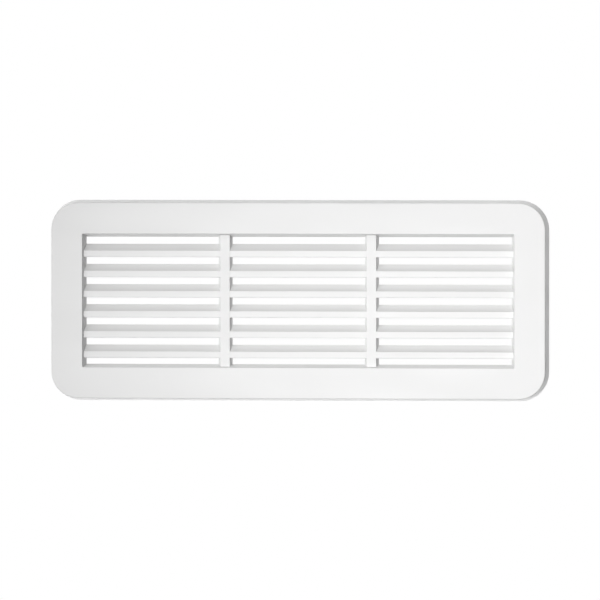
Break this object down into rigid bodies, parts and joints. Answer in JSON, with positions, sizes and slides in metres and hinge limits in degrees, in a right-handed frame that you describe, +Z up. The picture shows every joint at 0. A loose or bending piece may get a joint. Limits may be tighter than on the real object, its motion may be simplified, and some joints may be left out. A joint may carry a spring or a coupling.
{
  "type": "louvred air grille",
  "caption": "Wide rounded white wall grille with slanted louvre blades in three bays between two mullions, clipped by springs onto a shallow wall frame.",
  "frame": {"origin": "centre of the wall plane, in the middle of the wall opening that the sleeve enters", "axes": "+X to the right along the long side as seen from the room, +Y into the wall, +Z up"},
  "size_m": [0.254, 0.037, 0.102],
  "materials": {
    "fascia_plastic": "white moulded plastic, satin",
    "blade_plastic": "white moulded plastic, satin",
    "wall_frame_plastic": "off-white moulded plastic, matt",
    "gasket_foam": "dark closed-cell foam",
    "spring_steel": "bright spring strip",
    "screw_steel": "zinc plated"
  },
  "bodies": {
    "wall_fixing": {"wall_frame": "wall_frame_plastic", "wall_gasket": "gasket_foam"},
    "fascia": {"face_frame": "fascia_plastic", "top_rail": "fascia_plastic", "bottom_rail": "fascia_plastic", "left_rail": "fascia_plastic", "right_rail": "fascia_plastic", "mullion_left": "fascia_plastic", "mullion_right": "fascia_plastic", "blade_left_1": "blade_plastic", "blade_left_2": "blade_plastic", "blade_left_3": "blade_plastic", "blade_left_4": "blade_plastic", "blade_left_5": "blade_plastic", "blade_left_6": "blade_plastic", "blade_middle_1": "blade_plastic", "blade_middle_2": "blade_plastic", "blade_middle_3": "blade_plastic", "blade_middle_4": "blade_plastic", "blade_middle_5": "blade_plastic", "blade_middle_6": "blade_plastic", "blade_right_1": "blade_plastic", "blade_right_2": "blade_plastic", "blade_right_3": "blade_plastic", "blade_right_4": "blade_plastic", "blade_right_5": "blade_plastic", "blade_right_6": "blade_plastic", "clip_top_left": "spring_steel", "clip_top_right": "spring_steel", "clip_bottom_left": "spring_steel", "clip_bottom_right": "spring_steel", "core_screws": "screw_steel"}
  },
  "joints": [
    {"name": "fascia_pull", "type": "slide", "parent": "wall_fixing", "child": "fascia", "axis": [0, -1, 0], "range_m": [0, 0.04]}
  ]
}
